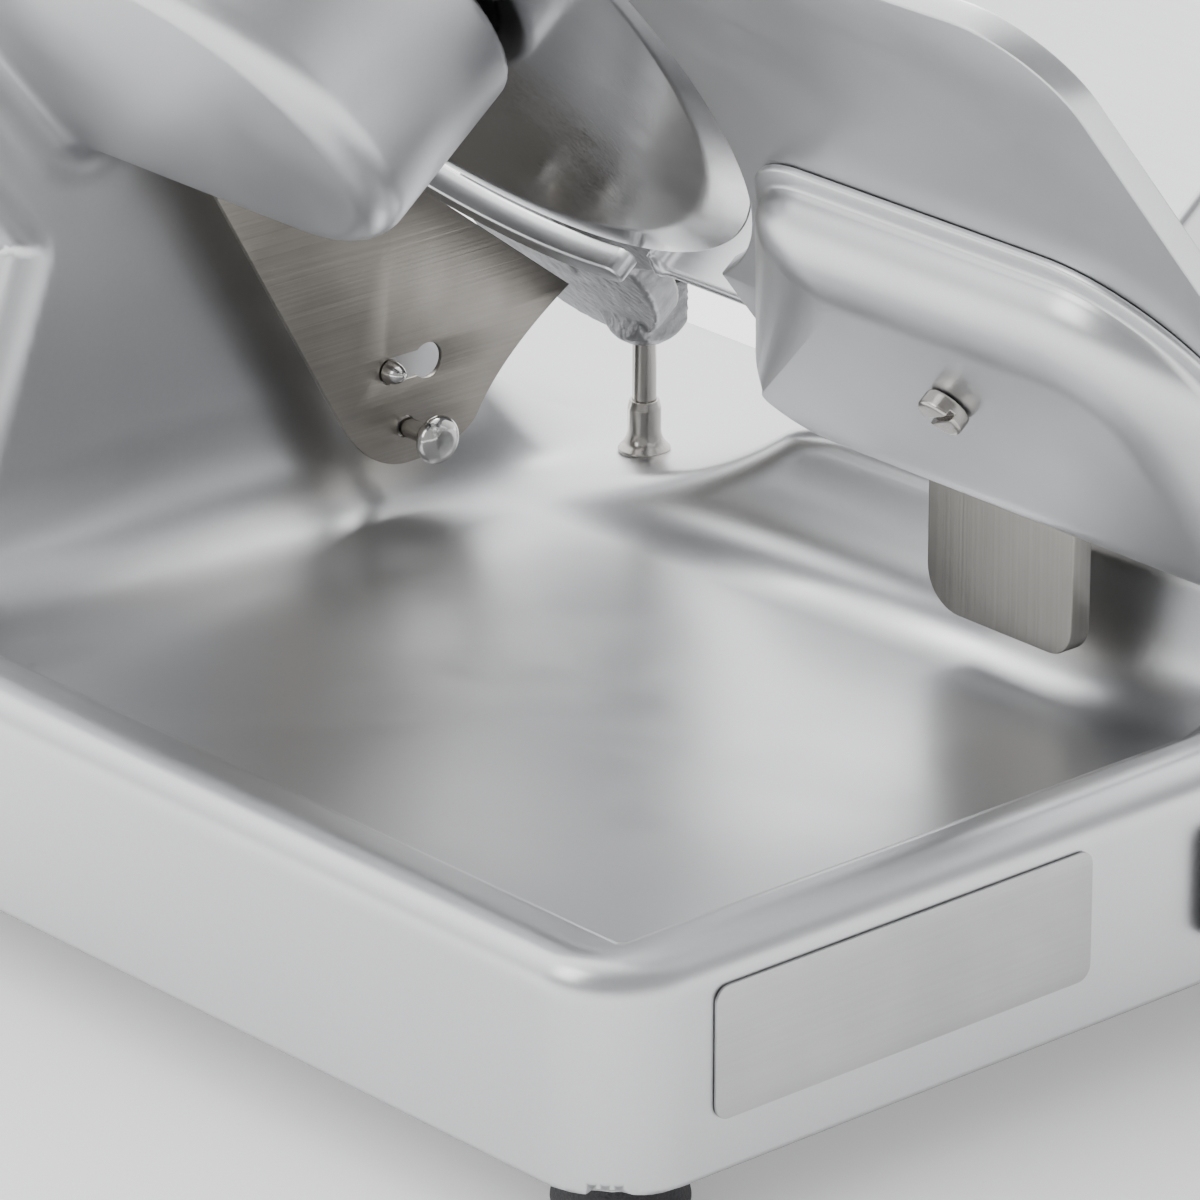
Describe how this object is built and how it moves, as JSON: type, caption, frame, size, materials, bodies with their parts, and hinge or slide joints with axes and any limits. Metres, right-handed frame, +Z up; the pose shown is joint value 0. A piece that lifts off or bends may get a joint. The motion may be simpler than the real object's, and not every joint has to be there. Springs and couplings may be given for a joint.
{
  "type": "deli meat slicer",
  "caption": "Countertop food slicer: leaning round knife, domed gauge plate, sliding product tray with toothed pusher, and a flat receiving tray in a one-piece cast base.",
  "frame": {"origin": "centre of the machine's bounding box, on the surface its feet stand on", "axes": "+X the operator's right, +Y away from the operator, +Z up; the knife plane leans towards -X"},
  "size_m": [0.4948, 0.7066, 0.4972],
  "materials": {
    "satin_aluminium": "satin, anodised",
    "brushed_steel": "brushed",
    "polished_steel": "polished",
    "rough_casting": "rough, as cast",
    "dark_steel": "machined, oiled",
    "bronze": "machined",
    "black_plastic": "moulded, fine texture",
    "red_plastic": "moulded, gloss",
    "green_plastic": "moulded, gloss",
    "grey_rubber": "moulded",
    "stone_grit": "bonded abrasive"
  },
  "bodies": {
    "base": {"base_casting": "satin_aluminium", "bottom_cover": "brushed_steel", "foot_front_left": "grey_rubber", "foot_front_right": "grey_rubber", "foot_back_left": "grey_rubber", "foot_back_right": "grey_rubber", "nameplate": "brushed_steel", "power_inlet": "black_plastic", "column_back_cover": "satin_aluminium", "switch_plate": "black_plastic", "spindle_carrier": "dark_steel", "front_bearing": "polished_steel", "rear_bearing": "polished_steel", "motor": "dark_steel", "knife_guard": "satin_aluminium", "knife_cover": "satin_aluminium", "slice_deflector": "brushed_steel", "locating_pin": "polished_steel", "gauge_guide_rod": "polished_steel", "index_dial": "brushed_steel", "carriage_rail": "polished_steel", "rail_bracket_front": "satin_aluminium", "rail_bracket_back": "satin_aluminium", "sharpener_body": "satin_aluminium"},
    "gauge": {"gauge_plate": "satin_aluminium", "gauge_hull": "satin_aluminium", "hull_screw": "polished_steel", "gauge_bracket": "rough_casting", "slot_shield": "brushed_steel"},
    "index": {"index_knob": "black_plastic", "index_shaft": "polished_steel", "index_cam": "dark_steel"},
    "knife_set": {"knife": "polished_steel", "knife_spindle": "polished_steel", "knife_hub": "dark_steel", "worm_wheel": "bronze"},
    "worm": {"worm_shaft": "polished_steel"},
    "cover_lock": {"cover_knob": "black_plastic"},
    "start": {"start_button": "green_plastic"},
    "stop": {"stop_button": "red_plastic"},
    "deflector_plunger": {"deflector_knob": "polished_steel"},
    "carriage": {"carriage_block": "satin_aluminium", "tilt_pin": "polished_steel"},
    "tilt_clamp": {"tilt_knob": "black_plastic"},
    "tray": {"tray_arm": "satin_aluminium", "product_tray": "satin_aluminium", "tray_handle": "black_plastic", "rod_holder_near": "satin_aluminium", "rod_holder_far": "satin_aluminium", "latch_bracket": "rough_casting"},
    "pusher_pivot": {"pusher_rod": "polished_steel"},
    "pusher": {"pusher_arm": "satin_aluminium", "pusher_grip": "rough_casting", "pusher_knob": "black_plastic"},
    "latch": {"pull_rod": "polished_steel", "pull_sleeve": "polished_steel"},
    "grind_plunger": {"grinding_rod": "polished_steel"},
    "grind_wheel": {"grinding_stone": "stone_grit"},
    "true_plunger": {"truing_rod": "polished_steel"},
    "true_wheel": {"truing_stone": "stone_grit"}
  },
  "joints": [
    {"name": "gauge_slide", "type": "slide", "parent": "base", "child": "gauge", "axis": [-0.788, 0, -0.6157], "range_m": [0, 0.02]},
    {"name": "index_turn", "type": "hinge", "parent": "base", "child": "index", "pos_m": [0.14886, -0.174, 0.064], "axis": [0, -1, 0], "range_deg": [0, 300.5]},
    {"name": "knife_spin", "type": "hinge", "parent": "base", "child": "knife_set", "pos_m": [-0.10587, 0.072, 0.32125], "axis": [0.788, 0, 0.6157], "continuous": true},
    {"name": "worm_spin", "type": "hinge", "parent": "base", "child": "worm", "pos_m": [-0.10628, 0.072, 0.26167], "axis": [0, 1, 0], "continuous": true},
    {"name": "cover_lock_turn", "type": "hinge", "parent": "base", "child": "cover_lock", "pos_m": [-0.12681, 0.259, 0.34804], "axis": [0.788, 0, 0.6157], "range_deg": [0, 90]},
    {"name": "start_press", "type": "slide", "parent": "base", "child": "start", "axis": [0, 1, 0], "range_m": [0, 0.003], "stiffness_N_per_m": 600, "springref_m": -0.002},
    {"name": "stop_press", "type": "slide", "parent": "base", "child": "stop", "axis": [0, 1, 0], "range_m": [0, 0.003], "stiffness_N_per_m": 600, "springref_m": -0.002},
    {"name": "deflector_pull", "type": "slide", "parent": "base", "child": "deflector_plunger", "axis": [0, -1, 0], "range_m": [0, 0.005], "stiffness_N_per_m": 500, "springref_m": -0.002},
    {"name": "carriage_slide", "type": "slide", "parent": "base", "child": "carriage", "axis": [0, 1, 0], "range_m": [0, 0.27]},
    {"name": "tilt_clamp_turn", "type": "hinge", "parent": "carriage", "child": "tilt_clamp", "pos_m": [0.22836, -0.119, 0.118], "axis": [0, -1, 0], "range_deg": [0, 90]},
    {"name": "tray_tilt", "type": "hinge", "parent": "carriage", "child": "tray", "pos_m": [0.22836, -0.084, 0.118], "axis": [0, 1, 0], "range_deg": [0, 30]},
    {"name": "pusher_swing", "type": "hinge", "parent": "tray", "child": "pusher_pivot", "pos_m": [-0.00983, 0.072, 0.19832], "axis": [0.788, 0, 0.6157], "range_deg": [0, 180]},
    {"name": "pusher_slide", "type": "slide", "parent": "pusher_pivot", "child": "pusher", "axis": [0.788, 0, 0.6157], "range_m": [0, 0.185]},
    {"name": "latch_pull", "type": "slide", "parent": "tray", "child": "latch", "axis": [0, 0, 1], "range_m": [0, 0.005], "stiffness_N_per_m": 500, "springref_m": -0.002},
    {"name": "grind_press", "type": "slide", "parent": "base", "child": "grind_plunger", "axis": [0.788, 0, 0.6157], "range_m": [0, 0.0075], "stiffness_N_per_m": 400, "springref_m": -0.004},
    {"name": "grind_spin", "type": "hinge", "parent": "grind_plunger", "child": "grind_wheel", "pos_m": [-0.19712, 0.139, 0.43804], "axis": [0.788, 0, 0.6157], "continuous": true},
    {"name": "true_press", "type": "slide", "parent": "base", "child": "true_plunger", "axis": [-0.788, 0, -0.6157], "range_m": [0, 0.0035], "stiffness_N_per_m": 400, "springref_m": -0.006},
    {"name": "true_spin", "type": "hinge", "parent": "true_plunger", "child": "true_wheel", "pos_m": [-0.19712, 0.139, 0.43804], "axis": [0.788, 0, 0.6157], "continuous": true}
  ],
  "couplings": [
    {"joint": "index_turn", "follows": "gauge_slide", "rad_per_m": 261.8},
    {"joint": "worm_spin", "follows": "knife_spin", "ratio": 5}
  ]
}
